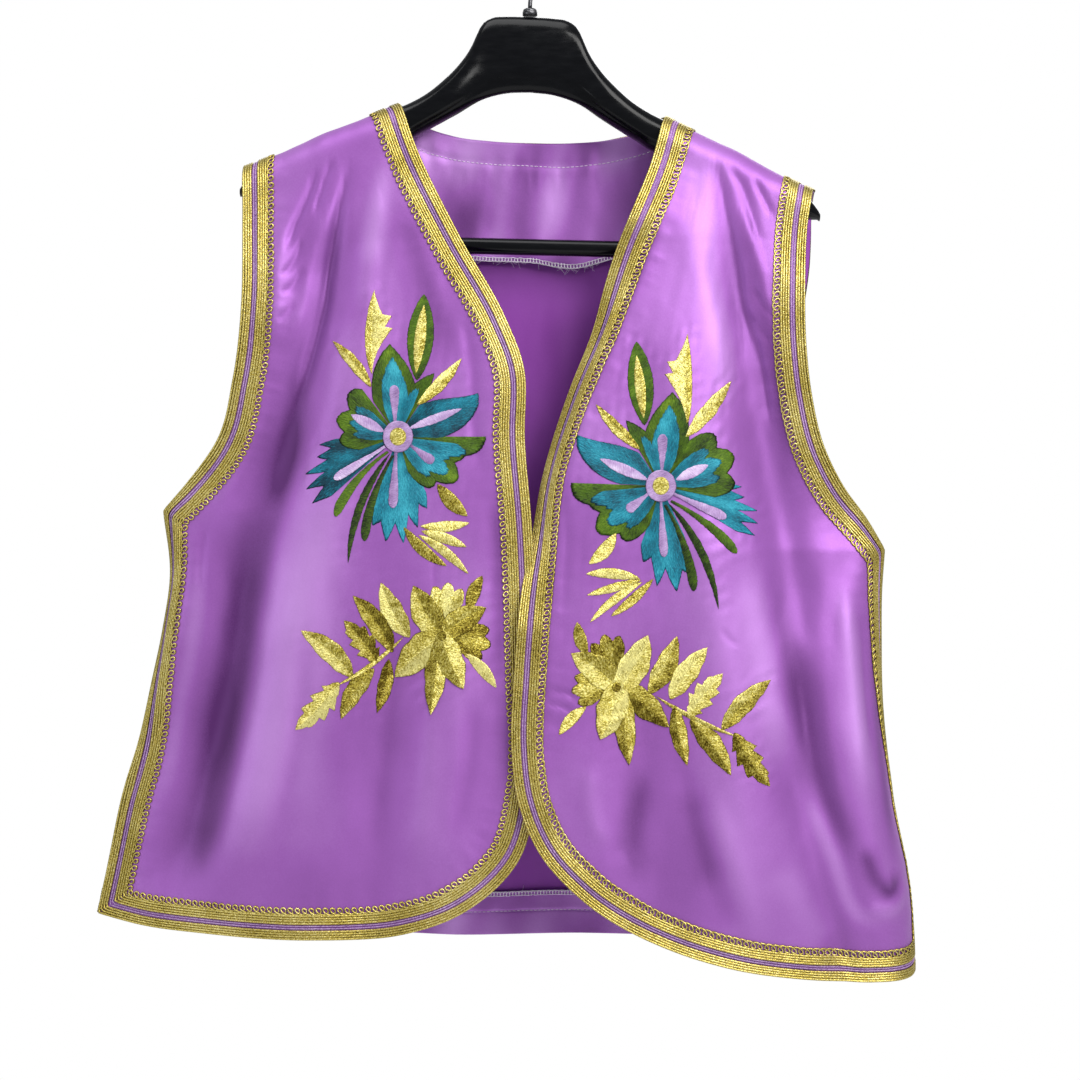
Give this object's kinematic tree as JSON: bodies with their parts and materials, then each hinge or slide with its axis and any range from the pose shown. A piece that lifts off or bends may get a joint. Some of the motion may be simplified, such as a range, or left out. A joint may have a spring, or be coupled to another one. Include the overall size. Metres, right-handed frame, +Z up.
{
  "type": "embroidered waistcoat on a hanger",
  "caption": "Open-fronted embroidered satin waistcoat edged with gold braid, hanging on a plastic suit hanger with a trouser bar and a wire hook.",
  "frame": {"origin": "inside top of the hanger's hook, where a rail carries it", "axes": "+X to the viewer's right across the shoulders, +Y from the front to the back, +Z up"},
  "size_m": [0.6169, 0.1086, 0.7902],
  "materials": {
    "satin": "glossy duchesse satin, purple",
    "satin_facing": "satin facing with an overlocked free edge",
    "gold_braid": "metallic gold cords and loops with a lilac pair between them",
    "hanger_plastic": "glossy black moulded plastic",
    "hook_steel": "darkened steel wire"
  },
  "bodies": {
    "root": {"front_left": "satin", "front_right": "satin", "back": "satin", "back_neck_facing": "satin_facing", "back_hem_facing": "satin_facing", "braid_front_left": "gold_braid", "braid_front_right": "gold_braid", "braid_back_neck": "gold_braid", "braid_back_armhole_left": "gold_braid", "braid_back_armhole_right": "gold_braid", "braid_back_hem": "gold_braid", "hanger_body": "hanger_plastic", "hanger_bar": "hanger_plastic", "hanger_ferrule": "hook_steel", "hanger_hook": "hook_steel"}
  },
  "joints": []
}
